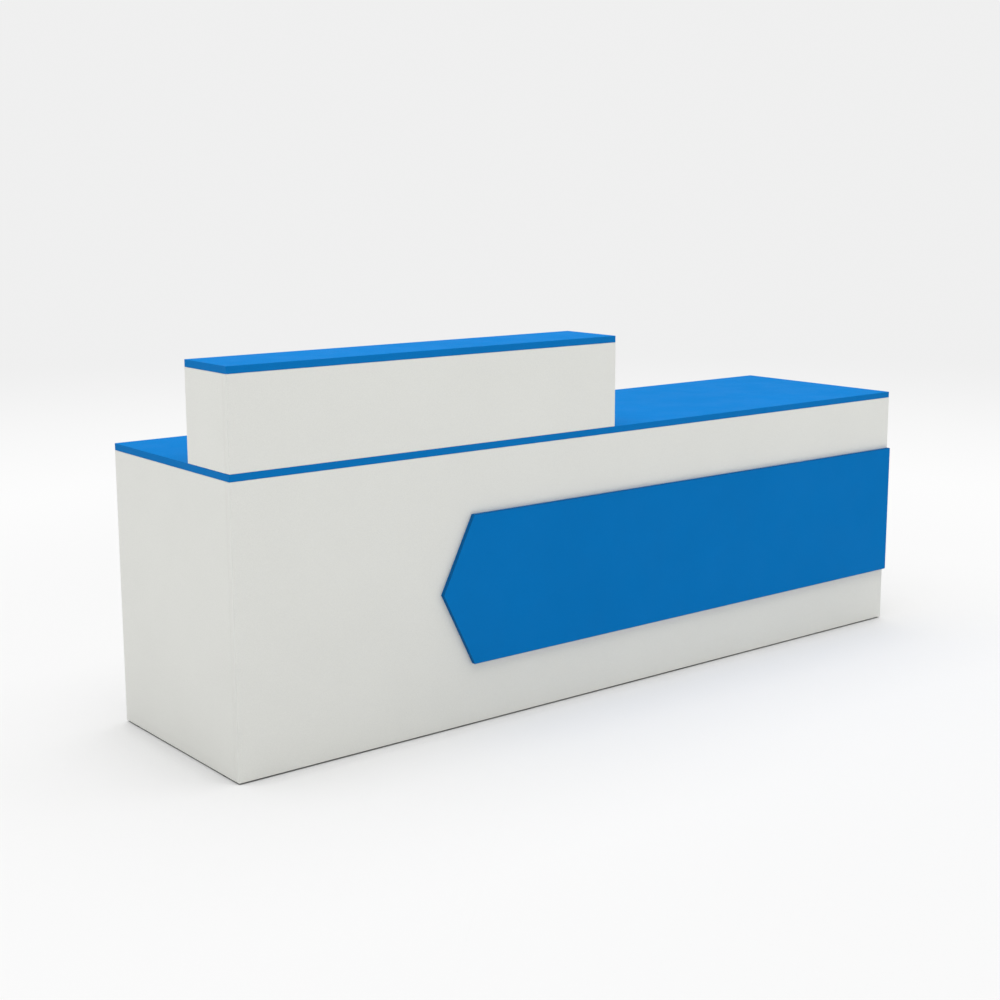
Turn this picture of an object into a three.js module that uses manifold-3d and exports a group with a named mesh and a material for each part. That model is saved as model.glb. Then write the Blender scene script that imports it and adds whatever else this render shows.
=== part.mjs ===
// Reception desk with a raised visitor counter, built from laminated boards.
//
// Millimetres, +Z up. The origin lies on the floor under the middle of the overall footprint.
// Visitors stand on the -Y side and staff sit on the +Y side. +X runs along the desk,
// to the right as a visitor sees it.

import * as THREE from "three";
import { mergeVertices } from "three/addons/utils/BufferGeometryUtils.js";
import Module from "manifold-3d";

// Overall sizes
const LENGTH = 2400; // along the visitor face
const DEPTH = 600; // visitor face to the staff edge of the worktop
const WORK_HEIGHT = 750; // floor to worktop surface
const BOARD = 18; // carcass, worktop and counter boards
const FLOOR_GAP = 4; // shadow gap under the carcass, spanned by the feet
const JOINT_GAP = 0.3; // glue line between boards that meet

// Raised visitor counter, flush with the visitor face and the left end
const COUNTER_LENGTH = 1200;
const COUNTER_DEPTH = 200;
const COUNTER_HEIGHT = 250; // worktop surface to counter surface

// Accent panel, flush with the right end, with an arrow point towards the left
const ACCENT_LENGTH = 1800;
const ACCENT_HEIGHT = 400;
const ACCENT_THICKNESS = 12;
const ACCENT_POINT = 100;

// Stiffening rails under the staff edge of the worktop
const RAIL_HEIGHT = 60;
const RAIL_SETBACK = 60; // staff edge of the worktop to the rail

// Drawer pedestal under the right-hand end of the raised counter
const PEDESTAL_WIDTH = 400; // clear, between its two partitions
const FRONTS_BASE = 20; // floor to the lowest drawer front
const FRONTS_TOP_REVEAL = 16; // highest drawer front to the worktop
const FRONT_GAP = 3; // between drawer fronts
const FRONT_SIDE_REVEAL = 2; // partition face to the end of a drawer front
const FRONT_BUMPER_GAP = 2; // closed drawer front to the partition edges
const SHALLOW_FRONT_HEIGHT = 175; // each of the two upper drawers

// Drawer boxes
const DRAWER_BOARD = 12;
const DRAWER_CABLE_SPACE = 77; // front panel of the desk to the back of a closed drawer box
const DRAWER_FLOOR_CLEARANCE = 4; // pedestal floor to the lowest drawer box
const DRAWER_HEADROOM = 43; // upper edge of a box to the upper edge of its front
const DRAWER_BOTTOM_THICKNESS = 5;
const DRAWER_BOTTOM_RAISE = 10; // lower edge of a box side to its bottom panel
const GROOVE_DEPTH = DRAWER_BOARD / 2; // bite of the bottom panel into the boards around it

// Telescopic drawer slides: a channel on the partition and a smaller one on the drawer
const SLIDE_SPACE = 13; // drawer side to partition
const SLIDE_HEIGHT = 45;
const SLIDE_WALL = 1.2;
const SLIDE_TIP_CLEARANCE = 1.2; // lips of one channel to the web of the other
const SLIDE_RAISE = 45; // lower edge of a box side to the middle of its slide
const SLIDE_SETBACK = 2; // partition edge to the end of its channel
const RUNNING_CLEARANCE = 0.3;

// Bar handles
const HANDLE_LENGTH = 192;
const HANDLE_CENTRES = 128; // post to post
const HANDLE_REACH = 32; // drawer front to the outside of the bar
const HANDLE_DIAMETER = 12;
const HANDLE_POST_DIAMETER = 8;
const HANDLE_DROP = 50; // upper edge of a front to the middle of its handle
const HANDLE_INSET = 4; // outside of the bar to the staff edge of the worktop

// Levelling feet, two in the lower edge of each upright
const FOOT_DIAMETER = 16;
const FOOT_ROUND = 1; // chamfer round the pad
const FOOT_STEM_DIAMETER = 6;
const FOOT_STEM_LENGTH = 26;
const FOOT_INSET = 60; // edge of the upright to the middle of the foot
const FOOT_BORE_SPARE = 4; // bore depth beyond the end of the stem

// Cable grommet in the worktop, behind the raised counter
const GROMMET_HOLE = 60;
const GROMMET_FROM_END = 320; // left end of the desk to the middle of the hole
const GROMMET_FROM_COUNTER = 70; // staff side of the counter to the middle of the hole
const GROMMET_RIM = 5; // flange beyond the hole
const GROMMET_RIM_THICKNESS = 1.6;
const GROMMET_WALL = 2;
const GROMMET_LEDGE = 3; // inward reach of the ledge that carries the cap
const GROMMET_LEDGE_THICKNESS = 2;
const CAP_THICKNESS = 4;
const CAP_NOTCH_WIDTH = 20;
const CAP_NOTCH_DEPTH = 16;

const ROUND_SIDES = 24; // facets round each turned piece

// Planes that several pieces share
const LEFT = -LENGTH / 2;
const RIGHT = LENGTH / 2;
const ACCENT_FACE = -(ACCENT_THICKNESS + JOINT_GAP + DEPTH) / 2;
const FRONT = ACCENT_FACE + ACCENT_THICKNESS + JOINT_GAP;
const REAR = FRONT + DEPTH;
const BEHIND_FRONT = FRONT + BOARD + JOINT_GAP;
const WORKTOP_UNDERSIDE = WORK_HEIGHT - BOARD;
const CARCASS_TOP = WORKTOP_UNDERSIDE - JOINT_GAP;
const COUNTER_RIGHT = LEFT + COUNTER_LENGTH;
const COUNTER_REAR = FRONT + COUNTER_DEPTH;
const COUNTER_SURFACE = WORK_HEIGHT + COUNTER_HEIGHT;
const PEDESTAL_LEFT = COUNTER_RIGHT;
const PEDESTAL_RIGHT = PEDESTAL_LEFT + PEDESTAL_WIDTH;
const FRONT_FACE = REAR - HANDLE_INSET - HANDLE_REACH; // staff face of the drawer fronts
const FRONT_BACK = FRONT_FACE - BOARD;
const PEDESTAL_REAR = FRONT_BACK - FRONT_BUMPER_GAP;
const BOX_FRONT = FRONT_BACK - JOINT_GAP; // ends of the drawer boxes
const BOX_BACK = BEHIND_FRONT + DRAWER_CABLE_SPACE;

const white = laminate("white laminate", 0xdcdcd9);
const blue = laminate("blue laminate", 0x1477c4);
const drawerBoard = laminate("drawer board", 0xd2d2ce);
const steel = metal("zinc-plated steel", 0xb4b8bb, 0.35);
const handleSteel = metal("brushed steel", 0xc4c6c8, 0.28);
const blackPlastic = new THREE.MeshStandardMaterial({
  name: "black plastic",
  color: 0x1d1e20,
  roughness: 0.55,
  metalness: 0,
});

const wasm = await Module();
wasm.setup();

function laminate(name, color) {
  return new THREE.MeshStandardMaterial({ name, color, roughness: 0.45, metalness: 0 });
}

function metal(name, color, roughness) {
  return new THREE.MeshStandardMaterial({ name, color, roughness, metalness: 1 });
}

// A closed geometry as a solid that can be joined and cut
function solidOf(geometry) {
  const bare = geometry.clone();
  bare.deleteAttribute("normal");
  bare.deleteAttribute("uv");
  const merged = mergeVertices(bare);
  return new wasm.Manifold(
    new wasm.Mesh({
      numProp: 3,
      vertProperties: merged.attributes.position.array,
      triVerts: new Uint32Array(merged.index.array),
    }),
  );
}

function geometryOf(solid) {
  const mesh = solid.getMesh();
  const geometry = new THREE.BufferGeometry();
  geometry.setAttribute("position", new THREE.BufferAttribute(mesh.vertProperties, 3));
  geometry.setIndex(new THREE.BufferAttribute(mesh.triVerts, 1));
  geometry.computeVertexNormals();
  return geometry;
}

function cut(geometry, tools) {
  const whole = solidOf(geometry);
  const left = tools.reduce((solid, tool) => solid.subtract(solidOf(tool)), whole);
  return geometryOf(left);
}

function join(geometries) {
  const solids = geometries.map(solidOf);
  return geometryOf(solids.reduce((sum, solid) => sum.add(solid)));
}

// A box between two planes on each axis, each pair given as [low, high]
function block([x0, x1], [y0, y1], [z0, z1]) {
  const geometry = new THREE.BoxGeometry(x1 - x0, y1 - y0, z1 - z0);
  return geometry.translate((x0 + x1) / 2, (y0 + y1) / 2, (z0 + z1) / 2);
}

// An upright cylinder standing on a base height
function post(radius, height, x, y, base) {
  const geometry = new THREE.CylinderGeometry(radius, radius, height, ROUND_SIDES);
  return geometry.rotateX(Math.PI / 2).translate(x, y, base + height / 2);
}

// A turned piece from a profile of [radius, height] points, about the Z axis
function turned(profile) {
  const points = profile.map(([radius, height]) => new THREE.Vector2(radius, height));
  return new THREE.LatheGeometry(points, ROUND_SIDES).rotateX(Math.PI / 2);
}

function piece(name, geometry, material) {
  const mesh = new THREE.Mesh(geometry, material);
  mesh.name = name;
  return mesh;
}

// Front, ends, rails and worktop

function worktop() {
  const board = block([LEFT, RIGHT], [FRONT, REAR], [WORKTOP_UNDERSIDE, WORK_HEIGHT]);
  const [x, y] = grommetPlace();
  const margin = BOARD; // the tool stands out of both faces
  const hole = post(GROMMET_HOLE / 2, BOARD + 2 * margin, x, y, WORKTOP_UNDERSIDE - margin);
  return piece("worktop", cut(board, [hole]), blue);
}

function frontPanel() {
  const board = block([LEFT, RIGHT], [FRONT, FRONT + BOARD], [FLOOR_GAP, CARCASS_TOP]);
  return piece("front_panel", board, white);
}

function accentPanel() {
  const tip = RIGHT - ACCENT_LENGTH;
  const middle = (FLOOR_GAP + WORKTOP_UNDERSIDE) / 2;
  const low = middle - ACCENT_HEIGHT / 2;
  const high = middle + ACCENT_HEIGHT / 2;
  const outline = new THREE.Shape();
  outline.moveTo(tip, middle);
  outline.lineTo(tip + ACCENT_POINT, low);
  outline.lineTo(RIGHT, low);
  outline.lineTo(RIGHT, high);
  outline.lineTo(tip + ACCENT_POINT, high);
  const plate = new THREE.ExtrudeGeometry(outline, {
    depth: ACCENT_THICKNESS,
    bevelEnabled: false,
  });
  const mesh = piece("accent_panel", plate, blue);
  mesh.rotation.x = Math.PI / 2;
  mesh.position.y = FRONT - JOINT_GAP;
  return mesh;
}

function rail(name, left, right) {
  const rear = REAR - RAIL_SETBACK;
  const board = block(
    [left + JOINT_GAP, right - JOINT_GAP],
    [rear - BOARD, rear],
    [CARCASS_TOP - RAIL_HEIGHT, CARCASS_TOP],
  );
  return piece(name, board, white);
}

// Uprights and the levelling feet in their lower edges

function upright(name, left, rear) {
  const group = new THREE.Group();
  const board = block([left, left + BOARD], [BEHIND_FRONT, rear], [FLOOR_GAP, CARCASS_TOP]);
  const x = left + BOARD / 2;
  const feet = { front: BEHIND_FRONT + FOOT_INSET, rear: rear - FOOT_INSET };
  const radius = FOOT_STEM_DIAMETER / 2 + RUNNING_CLEARANCE;
  const depth = FOOT_STEM_LENGTH + FOOT_BORE_SPARE;
  const bores = Object.values(feet).map((y) => post(radius, 2 * depth, x, y, FLOOR_GAP - depth));
  group.add(piece(`${name}_panel`, cut(board, bores), white));
  for (const [end, y] of Object.entries(feet)) {
    const foot = piece(`${name}_${end}_foot`, footShape(), blackPlastic);
    foot.position.set(x, y, 0);
    group.add(foot);
  }
  return group;
}

function footShape() {
  const pad = FOOT_DIAMETER / 2;
  const stem = FOOT_STEM_DIAMETER / 2;
  const shoulder = FLOOR_GAP - JOINT_GAP;
  return turned([
    [0, 0],
    [pad - FOOT_ROUND, 0],
    [pad, FOOT_ROUND],
    [pad, shoulder],
    [stem, shoulder],
    [stem, shoulder + FOOT_STEM_LENGTH],
    [0, shoulder + FOOT_STEM_LENGTH],
  ]);
}

function carcass() {
  const group = new THREE.Group();
  const rightEnd = RIGHT - BOARD;
  group.add(worktop(), frontPanel(), accentPanel());
  group.add(upright("left_end", LEFT, REAR));
  group.add(upright("right_end", rightEnd, REAR));
  group.add(upright("pedestal_left", PEDESTAL_LEFT - BOARD, PEDESTAL_REAR));
  group.add(upright("pedestal_right", PEDESTAL_RIGHT, PEDESTAL_REAR));
  group.add(rail("kneehole_rail", LEFT + BOARD, PEDESTAL_LEFT - BOARD));
  group.add(rail("side_bay_rail", PEDESTAL_RIGHT + BOARD, rightEnd));
  return group;
}

// Raised visitor counter, open on the staff side and split into two pigeonholes

function counter() {
  const group = new THREE.Group();
  const base = WORK_HEIGHT + JOINT_GAP;
  const underside = COUNTER_SURFACE - BOARD;
  const heights = [base, underside - JOINT_GAP];
  const behind = [BEHIND_FRONT, COUNTER_REAR];
  const middle = (LEFT + COUNTER_RIGHT) / 2;
  const upstand = (name, left) => piece(name, block([left, left + BOARD], behind, heights), white);
  const face = block([LEFT, COUNTER_RIGHT], [FRONT, FRONT + BOARD], heights);
  const top = block([LEFT, COUNTER_RIGHT], [FRONT, COUNTER_REAR], [underside, COUNTER_SURFACE]);
  group.add(piece("counter_front_panel", face, white));
  group.add(piece("counter_top", top, blue));
  group.add(upstand("counter_left_end", LEFT));
  group.add(upstand("counter_divider", middle - BOARD / 2));
  group.add(upstand("counter_right_end", COUNTER_RIGHT - BOARD));
  return group;
}

// Drawer pedestal

function pedestalFloor() {
  const board = block(
    [PEDESTAL_LEFT + JOINT_GAP, PEDESTAL_RIGHT - JOINT_GAP],
    [BEHIND_FRONT, PEDESTAL_REAR],
    [FRONTS_BASE, FRONTS_BASE + BOARD],
  );
  return piece("pedestal_floor", board, white);
}

// A channel along Y, its web at x = 0 and its lips reaching towards the side given by sign
function channel(height, sign) {
  const staffEnd = PEDESTAL_REAR - SLIDE_SETBACK;
  const half = height / 2;
  const lip = half - SLIDE_WALL;
  const web = sign * SLIDE_WALL;
  const reach = sign * (SLIDE_SPACE - 2 * JOINT_GAP - SLIDE_WALL - SLIDE_TIP_CLEARANCE);
  const outline = new THREE.Shape();
  outline.moveTo(0, -half);
  outline.lineTo(reach, -half);
  outline.lineTo(reach, -lip);
  outline.lineTo(web, -lip);
  outline.lineTo(web, lip);
  outline.lineTo(reach, lip);
  outline.lineTo(reach, half);
  outline.lineTo(0, half);
  const geometry = new THREE.ExtrudeGeometry(outline, {
    depth: staffEnd - BOX_BACK,
    bevelEnabled: false,
  });
  return geometry.rotateX(Math.PI / 2).translate(0, staffEnd, 0);
}

// The pair of channels on one side of a drawer; sign points from the partition to the drawer
function slide(name, side, sign, partition, height) {
  const inner = SLIDE_HEIGHT - 2 * (SLIDE_WALL + RUNNING_CLEARANCE);
  const fixed = piece(`${name}_${side}_rail`, channel(SLIDE_HEIGHT, sign), steel);
  const moving = piece(`${name}_${side}_runner`, channel(inner, -sign), steel);
  fixed.position.set(partition + sign * JOINT_GAP, 0, height);
  moving.position.set(partition + sign * (SLIDE_SPACE - JOINT_GAP), 0, height);
  return [fixed, moving];
}

// A bar on two posts, centred on the origin of the drawer front's staff face
function handleShape() {
  const bar = new THREE.CylinderGeometry(
    HANDLE_DIAMETER / 2,
    HANDLE_DIAMETER / 2,
    HANDLE_LENGTH,
    ROUND_SIDES,
  );
  const barAt = HANDLE_REACH - HANDLE_DIAMETER / 2;
  bar.rotateZ(Math.PI / 2).translate(0, barAt, 0);
  const posts = [-1, 1].map((sign) => {
    const leg = new THREE.CylinderGeometry(
      HANDLE_POST_DIAMETER / 2,
      HANDLE_POST_DIAMETER / 2,
      barAt - JOINT_GAP,
      ROUND_SIDES,
    );
    return leg.translate((sign * HANDLE_CENTRES) / 2, (barAt + JOINT_GAP) / 2, 0);
  });
  return join([bar, ...posts]);
}

function drawer(name, frontBase, frontHeight) {
  const group = new THREE.Group();
  const frontTop = frontBase + frontHeight;
  const left = PEDESTAL_LEFT + SLIDE_SPACE;
  const right = PEDESTAL_RIGHT - SLIDE_SPACE;
  const boxBase = frontBase + BOARD + DRAWER_FLOOR_CLEARANCE;
  const boxHeights = [boxBase, frontTop - DRAWER_HEADROOM];
  const insideLeft = left + DRAWER_BOARD;
  const insideRight = right - DRAWER_BOARD;

  // The bottom panel slides into grooves in the sides and the front, and under the back
  const bottomBase = boxBase + DRAWER_BOTTOM_RAISE;
  const bottomTop = bottomBase + DRAWER_BOTTOM_THICKNESS;
  const bottom = (clearance) =>
    block(
      [insideLeft - GROOVE_DEPTH - clearance, insideRight + GROOVE_DEPTH + clearance],
      [BOX_BACK - clearance, FRONT_BACK + GROOVE_DEPTH + clearance],
      [bottomBase - clearance, bottomTop + clearance],
    );
  const groove = bottom(JOINT_GAP);

  const front = block(
    [
      PEDESTAL_LEFT - BOARD + FRONT_SIDE_REVEAL,
      PEDESTAL_RIGHT + BOARD - FRONT_SIDE_REVEAL,
    ],
    [FRONT_BACK, FRONT_FACE],
    [frontBase, frontTop],
  );
  const back = block(
    [insideLeft + JOINT_GAP, insideRight - JOINT_GAP],
    [BOX_BACK, BOX_BACK + DRAWER_BOARD],
    [bottomTop + JOINT_GAP, boxHeights[1]],
  );
  const side = (x0, x1) => cut(block([x0, x1], [BOX_BACK, BOX_FRONT], boxHeights), [groove]);
  group.add(piece(`${name}_front`, cut(front, [groove]), white));
  group.add(piece(`${name}_left_side`, side(left, insideLeft), drawerBoard));
  group.add(piece(`${name}_right_side`, side(insideRight, right), drawerBoard));
  group.add(piece(`${name}_back`, back, drawerBoard));
  group.add(piece(`${name}_bottom`, bottom(0), drawerBoard));

  const slideHeight = boxBase + SLIDE_RAISE;
  group.add(...slide(name, "left", 1, PEDESTAL_LEFT, slideHeight));
  group.add(...slide(name, "right", -1, PEDESTAL_RIGHT, slideHeight));

  const handle = piece(`${name}_handle`, handleShape(), handleSteel);
  handle.position.set((left + right) / 2, FRONT_FACE, frontTop - HANDLE_DROP);
  group.add(handle);
  return group;
}

// Two shallow drawers over a deep file drawer, which takes the height that is left
function drawers() {
  const group = new THREE.Group();
  const top = WORKTOP_UNDERSIDE - FRONTS_TOP_REVEAL;
  const topBase = top - SHALLOW_FRONT_HEIGHT;
  const middleBase = topBase - FRONT_GAP - SHALLOW_FRONT_HEIGHT;
  const fileHeight = middleBase - FRONT_GAP - FRONTS_BASE;
  group.add(drawer("top_drawer", topBase, SHALLOW_FRONT_HEIGHT));
  group.add(drawer("middle_drawer", middleBase, SHALLOW_FRONT_HEIGHT));
  group.add(drawer("file_drawer", FRONTS_BASE, fileHeight));
  return group;
}

// Cable grommet: a flanged liner in the worktop and a turning cap with a notch for the cables

function grommetPlace() {
  return [LEFT + GROMMET_FROM_END, COUNTER_REAR + GROMMET_FROM_COUNTER];
}

function grommet() {
  const group = new THREE.Group();
  const tube = GROMMET_HOLE / 2 - JOINT_GAP;
  const inside = tube - GROMMET_WALL;
  const rim = GROMMET_HOLE / 2 + GROMMET_RIM;
  const rimTop = JOINT_GAP + GROMMET_RIM_THICKNESS;
  const ledgeTop = rimTop - CAP_THICKNESS - JOINT_GAP;
  const ledgeBottom = ledgeTop - GROMMET_LEDGE_THICKNESS;
  const liner = turned([
    [inside, rimTop],
    [inside, ledgeTop],
    [inside - GROMMET_LEDGE, ledgeTop],
    [inside - GROMMET_LEDGE, ledgeBottom],
    [inside, ledgeBottom],
    [inside, -BOARD],
    [tube, -BOARD],
    [tube, JOINT_GAP],
    [rim, JOINT_GAP],
    [rim, rimTop],
    [inside, rimTop],
  ]);
  const capRadius = inside - RUNNING_CLEARANCE;
  const disc = post(capRadius, CAP_THICKNESS, 0, 0, rimTop - CAP_THICKNESS);
  const notch = block(
    [-CAP_NOTCH_WIDTH / 2, CAP_NOTCH_WIDTH / 2],
    [-capRadius - CAP_NOTCH_DEPTH, -capRadius + CAP_NOTCH_DEPTH],
    [rimTop - 2 * CAP_THICKNESS, rimTop + CAP_THICKNESS],
  );
  group.add(piece("grommet_liner", liner, blackPlastic));
  group.add(piece("grommet_cap", cut(disc, [notch]), blackPlastic));
  group.position.set(...grommetPlace(), WORK_HEIGHT);
  return group;
}

const desk = new THREE.Group();
desk.name = "reception_desk";
desk.add(carcass(), counter(), pedestalFloor(), drawers(), grommet());

export default desk;
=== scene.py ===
"""Looks of the reception desk: laminated boards, drawer hardware and a pale studio."""

import math

import bmesh
import bpy
from mathutils import Matrix, Vector

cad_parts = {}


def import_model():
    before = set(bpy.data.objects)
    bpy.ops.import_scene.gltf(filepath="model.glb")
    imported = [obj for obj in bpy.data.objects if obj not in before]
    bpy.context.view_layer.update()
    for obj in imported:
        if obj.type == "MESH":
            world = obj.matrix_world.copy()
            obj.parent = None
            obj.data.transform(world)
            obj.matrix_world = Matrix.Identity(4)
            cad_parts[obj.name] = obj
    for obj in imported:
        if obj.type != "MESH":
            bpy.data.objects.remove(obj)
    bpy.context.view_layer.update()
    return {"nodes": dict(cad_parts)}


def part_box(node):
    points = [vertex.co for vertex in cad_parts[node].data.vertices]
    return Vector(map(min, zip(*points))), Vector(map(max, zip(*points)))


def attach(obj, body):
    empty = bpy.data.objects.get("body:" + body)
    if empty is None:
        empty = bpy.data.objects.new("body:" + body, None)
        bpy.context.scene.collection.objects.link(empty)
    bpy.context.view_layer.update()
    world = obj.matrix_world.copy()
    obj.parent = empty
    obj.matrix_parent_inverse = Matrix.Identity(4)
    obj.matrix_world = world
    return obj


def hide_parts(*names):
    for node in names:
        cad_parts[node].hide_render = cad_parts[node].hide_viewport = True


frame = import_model()

MM = 0.001
UP = Vector((0, 0, 1))
DRAWERS = ("top_drawer", "middle_drawer", "file_drawer")
UPRIGHTS = ("left_end", "right_end", "pedestal_left", "pedestal_right")
FOOT_ENDS = ("front", "rear")

# Boards
ARRIS = 0.8 * MM  # rounding along an edge band
BAND = 1.0 * MM  # thickness of an edge band
GLUE_LINE = 0.16 * MM  # hairline between a face and its edge band
CORNER = 1.5 * MM  # rounding in plan where two edge bands meet
ARC_STEPS = 4  # facets round a quarter turn of an arris or a corner
SHARP_ANGLE = math.radians(40)  # edges that turn by more stay sharp
JOINT_GAP = 0.3 * MM  # between pieces that meet
HOLE_SIDES = 48  # facets round a bore, a sleeve or a dome

# Cam fittings that pull the boards together, under covers
COVER_RADIUS = 8.5 * MM
COVER_HEIGHT = 1.0 * MM
CAM_INSET = 34 * MM  # joined edge of a board to the middle of its cam
CAMS_UP = (0.14, 0.5, 0.8)  # shares of an upright's height
CAMS_ALONG = (0.18, 0.5, 0.8)  # shares of an upright's depth
COUNTER_CAM = 0.65  # share of the counter's depth
DOME_STEPS = ((0.97, 0.6), (0.85, 0.85), (0.5, 0.97))  # shares of a dome's radius and height
DOME_RIM = 0.35  # share of a dome's height that rises straight

# Rubber bumpers behind the drawer fronts
BUMPER_RADIUS = 4 * MM
BUMPER_HEIGHT = 1.8 * MM
BUMPER_INSET = 25 * MM  # edge of a drawer front to the middle of a bumper

# Drawer slides
SLIDE_WALL = 1.2 * MM
SLIDE_BEND = 1.8 * MM  # outside of the bends
TRACK_DEPTH = 0.8 * MM  # of the ball track pressed along each lip
TRACK_MIDDLE = 6.2 * MM  # from the back of the web
TRACK_HALF = 3.0 * MM
TRACK_STEPS = 16
RAIL_SCREWS = (0.09, 0.5, 0.93)  # shares of the channel's length
RUNNER_SCREWS = (0.06, 0.46, 0.9)

# Screw heads
SCREW_RADIUS = 3.6 * MM
SCREW_HEIGHT = 1.9 * MM
SCREW_ROUND = 1.0 * MM
SCREW_SIDES = 24
CROWN_SWEEP = 80  # degrees of rounding at the rim of a head
RECESS_REACH = 2.1 * MM  # half length of the crossed recess
RECESS_WIDTH = 0.9 * MM
RECESS_DEPTH = 1.2 * MM

# Handles
BAR_CHAMFER = 1.0 * MM
BAR_SIDES = 64
POST_SPREAD = 64 * MM  # middle of the bar to the middle of a post
POST_RADIUS = 4 * MM
POST_SIDES = 32
ROSETTE_RADIUS = 6.5 * MM
ROSETTE_HEIGHT = 1.8 * MM
ROSETTE_CHAMFER = 0.5 * MM

# Levelling feet
PAD_HEIGHT = 3.7 * MM  # leaves a joint's gap under the upright
PAD_CHAMFER = 0.8 * MM
PAD_RIBS = 30
RIB_DEPTH = 0.35 * MM
PAD_SIDES = 120
STEM_RADIUS = 3.0 * MM
STEM_SIDES = 24
STEM_BORE = 3.3 * MM  # radius
BORE_ROOM = 4.0 * MM  # from the tip of a stem to the end of its bore
THREAD_PITCH = 1.0 * MM
THREAD_DEPTH = 0.55 * MM
THREAD_STEPS = 6  # rings in each turn of the thread
SLEEVE_RADIUS = 5.5 * MM  # threaded sleeve in the lower edge of an upright
SLEEVE_LENGTH = 13 * MM
SLEEVE_CHAMFER = 0.5 * MM
SLEEVE_SLACK = 0.05 * MM  # round the sleeve in its seat

# Cable grommet
GROMMET_SIDES = 96
GROMMET_HOLE = 30 * MM  # radius of the hole in the worktop
LINER_WALL = 2.0 * MM
LEDGE_REACH = 3.0 * MM
LEDGE_DEPTH = 2.0 * MM
RIM_SLOPE = 2.5 * MM
RIM_SWEEP = 60  # degrees of rounding at the outside of the rim
RIM_DROP = 0.98 * MM  # top of the rim to the middle of that rounding
PLASTIC_ROUND = 0.7 * MM
NOTCH_HALF = 10 * MM  # half the notch's width
NOTCH_DEPTH = 16 * MM
NOTCH_ROUND = 2.0 * MM

# Laminates
WHITE = (0.845, 0.850, 0.808)
BLUE = (0.002, 0.188, 0.548)
GREY_BOARD = (0.68, 0.68, 0.65)
BAND_TONE = 0.985  # share of a board's colour in its edge band
DRAWER_BAND_TONE = 0.97
DARK_BAND_TONE = 0.6  # share of the blue in the accent panel's edge band, which is darker than its face
BACKING_TONE = 0.93  # share of the white in the sheet on a hidden face
FACE_PEARL = 0.9 * MM  # width of the pearls pressed into a face
BAND_PEARL = 0.5 * MM
PEARL_DEPTH = 0.06 * MM
PEARL_STRENGTH = 0.6
PEARL_TONE = 0.85  # share of the tone's swing that follows the pearls, the rest being clouds
PALE_SWING = 0.06  # share of a colour by which its tone may leave it
BLUE_SWING = 0.15
CLOUD_SIZE = 0.43
SMEAR_SIZE = 0.09  # of wiped patches in the gloss
GLOSS_SWING = 0.06

# Metals, plastics and raw board
STEEL = (0.62, 0.63, 0.64)
ZINC = (0.55, 0.57, 0.59)
SCREW_STEEL = (0.5, 0.51, 0.53)
BRUSH_MARK = (28 * MM, 0.65 * MM, 0.65 * MM)  # lengths along each axis of a mark in the finish
ROLL_MARK = (1.1 * MM, 25 * MM, 1.1 * MM)
BLAST_MARK = (0.85 * MM, 0.85 * MM, 0.85 * MM)
MARK_DEPTH = 0.03 * MM
MARK_STRENGTH = 0.3
MARK_TONES = (0.88, 1.06)  # shares of a metal's colour in its marks and between them
STAIN_SIZE = 17 * MM
BLACK = (0.018, 0.019, 0.021)
RUBBER = (0.03, 0.03, 0.031)
IVORY = (0.8, 0.8, 0.77)
SPARK_SIZE = 0.4 * MM  # grain of a spark-eroded mould
SPARK_DEPTH = 0.05 * MM
SPARK_STRENGTH = 0.5
MOULD_TONES = (0.9, 1.1)
FLOW_SIZE = 25 * MM
BINDER = (0.2, 0.12, 0.06)
CHIP = (0.5, 0.35, 0.2)
CHIP_SIZE = 1.4 * MM
CHIP_SPAN = (0.1, 0.7)  # from the middle of a chip out to the binder, in chip sizes
CHIP_DEPTH = 0.4 * MM
CHIP_STRENGTH = 0.8
CHIP_ROUGHNESS = 0.85
NOISE_SPAN = (0.3, 0.7)  # where most of a noise falls

# Camera, fitted to the edges of the photograph
CAMERA_PLACE = (-2.9533, -3.4832, 1.3927)
CAMERA_TURN = math.radians(-38.641)
CAMERA_PITCH = math.radians(-10.141)
CAMERA_LEAN = math.radians(0.100)
CAMERA_LENS = 57.208
CAMERA_SHIFT = -0.0261  # share of its side by which the frame is raised
SENSOR = 36.0

# Studio
FLOOR_HALF = 60.0  # metres from the middle of the floor to its edges
FLOOR_TONE = 0.78
FLOOR_ROUGHNESS = 0.9
NEAR_TONE = 1.0  # backdrop tones, near the desk and at the horizon
FAR_TONE = 0.868
FADE_SPAN = (1.4, 3.7)  # metres from the middle of the desk over which the lit floor fades
FAR_SPAN = (1.5, 9.5)  # metres over which the floor takes the horizon's tone
SHADOW_LIFT = 0.48  # share of the near floor that shows the glowing backdrop tone, painted light that lightens the floor's shadow
PAINTED_SHADOW_REACH = 0.3  # metres from a board over which an occlusion test holds that glow back, a painted shadow beside the desk
PAINTED_SHADOW_SPAN = (0.3, 1.0)  # openness of the floor over which the glow sets in, so the painted shadow fades out
PAINTED_SHADE_REACH = 0.12  # metres within which a board counts as covering the floor, for the painted shade under the desk
PAINTED_SHADE_SPAN = (0.08, 0.38)  # openness of the floor under the desk, and beside it, over which the painted shade fades out
PAINTED_SHADE_TONE = 0.12  # floor colour under the desk: painted shade, darkened where boards cover it
COVER_SAMPLES = 4  # rays that look for boards above a point of the floor
WORLD_LIGHT = 0.5
SOFTBOXES = {
    "overhead": {"place": (0, 0, 7), "aim": (0, 0, 0), "size": (12, 8.8), "power": 580},
    "left_fill": {"place": (-6, -2.5, 0.8), "aim": (0, 0, 0.4), "size": (3, 3), "power": 1},
    "right_fill": {"place": (4.2, -3.6, 0.8), "aim": (0.8, 0, 0.3), "size": (2.5, 2.5), "power": 5},
}


# Materials


def new_material(name):
    material = bpy.data.materials.new(name)
    material.use_nodes = True
    nodes = material.node_tree.nodes
    return material, nodes, material.node_tree.links, nodes["Principled BSDF"]


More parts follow.
